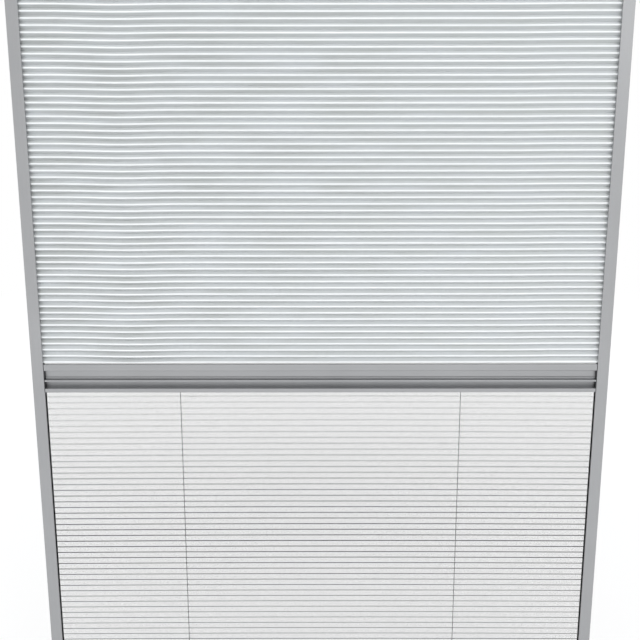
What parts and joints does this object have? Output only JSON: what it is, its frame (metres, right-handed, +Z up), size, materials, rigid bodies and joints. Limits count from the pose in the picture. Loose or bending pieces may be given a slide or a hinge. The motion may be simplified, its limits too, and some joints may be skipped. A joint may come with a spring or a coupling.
{
  "type": "skylight window blind",
  "caption": "Framed roof-window blind: white pleated fabric above and black pleated insect mesh below, joined by a cord-guided pull bar that slides up and down.",
  "frame": {"origin": "middle of the frame's lower edge, halfway through its depth", "axes": "+X across the window, +Y to the back (towards the glass), +Z up the slope of the roof window; the room side faces -Y"},
  "size_m": [1.1, 0.034, 1.6],
  "materials": {
    "aluminium": "silver anodised, fine satin",
    "white_pleat": "matt pleated cloth",
    "screen_mesh": "matt open pleated net",
    "black_plastic": "fine moulded texture",
    "grey_plastic": "fine moulded texture",
    "white_plastic": "smooth moulded",
    "brush_pile": "dense pile",
    "felt": "pressed felt",
    "cord": "fine braid",
    "steel": "zinc plated"
  },
  "bodies": {
    "frame": {"left_side_rail": "aluminium", "right_side_rail": "aluminium", "top_rail": "aluminium", "bottom_rail": "aluminium", "corner_cap_top_left": "grey_plastic", "corner_cap_top_right": "grey_plastic", "corner_cap_bottom_left": "grey_plastic", "corner_cap_bottom_right": "grey_plastic", "corner_screw_top_left_side": "steel", "corner_screw_top_left_end": "steel", "corner_screw_top_right_side": "steel", "corner_screw_top_right_end": "steel", "corner_screw_bottom_left_side": "steel", "corner_screw_bottom_left_end": "steel", "corner_screw_bottom_right_side": "steel", "corner_screw_bottom_right_end": "steel", "left_brush_seal": "brush_pile", "right_brush_seal": "brush_pile", "blind_fabric": "white_pleat", "blind_head_strip": "white_plastic", "insect_mesh": "screen_mesh", "mesh_foot_strip": "white_plastic", "guide_cord_a": "cord", "guide_cord_b": "cord", "cord_plug_a": "black_plastic", "cord_plug_b": "black_plastic", "left_tension_shoe": "black_plastic", "right_tension_shoe": "black_plastic", "left_tension_shoe_screw": "steel", "right_tension_shoe_screw": "steel", "left_tension_spring": "steel", "right_tension_spring": "steel", "left_cord_stop": "steel", "right_cord_stop": "steel"},
    "bar": {"bar_blind_profile": "aluminium", "bar_screen_profile": "aluminium", "blind_foot_strip": "white_plastic", "mesh_head_strip": "white_plastic", "left_bar_glider": "black_plastic", "right_bar_glider": "black_plastic", "left_brake_pad": "felt", "right_brake_pad": "felt", "left_cord_cradle": "black_plastic", "right_cord_cradle": "black_plastic", "left_upper_roller_pin": "steel", "left_lower_roller_pin": "steel", "right_upper_roller_pin": "steel", "right_lower_roller_pin": "steel"},
    "left_upper_roller": {"left_upper_roller": "white_plastic"},
    "left_lower_roller": {"left_lower_roller": "white_plastic"},
    "right_upper_roller": {"right_upper_roller": "white_plastic"},
    "right_lower_roller": {"right_lower_roller": "white_plastic"}
  },
  "joints": [
    {"name": "bar_slide", "type": "slide", "parent": "frame", "child": "bar", "axis": [0, 0, 1], "range_m": [-0.63, 0.735], "deforming": ["blind_fabric", "insect_mesh", "guide_cord_a", "guide_cord_b"]},
    {"name": "left_upper_roller_spin", "type": "hinge", "parent": "bar", "child": "left_upper_roller", "pos_m": [-0.268, 0.0044, 0.7477], "axis": [0, 1, 0], "continuous": true},
    {"name": "left_lower_roller_spin", "type": "hinge", "parent": "bar", "child": "left_lower_roller", "pos_m": [-0.268, 0.0044, 0.7397], "axis": [0, 1, 0], "continuous": true},
    {"name": "right_upper_roller_spin", "type": "hinge", "parent": "bar", "child": "right_upper_roller", "pos_m": [0.268, 0.0044, 0.7477], "axis": [0, 1, 0], "continuous": true},
    {"name": "right_lower_roller_spin", "type": "hinge", "parent": "bar", "child": "right_lower_roller", "pos_m": [0.268, 0.0044, 0.7397], "axis": [0, 1, 0], "continuous": true}
  ],
  "couplings": [
    {"joint": "left_upper_roller_spin", "follows": "bar_slide", "rad_per_m": -250},
    {"joint": "left_lower_roller_spin", "follows": "bar_slide", "rad_per_m": -250},
    {"joint": "right_upper_roller_spin", "follows": "bar_slide", "rad_per_m": 250},
    {"joint": "right_lower_roller_spin", "follows": "bar_slide", "rad_per_m": 250}
  ]
}
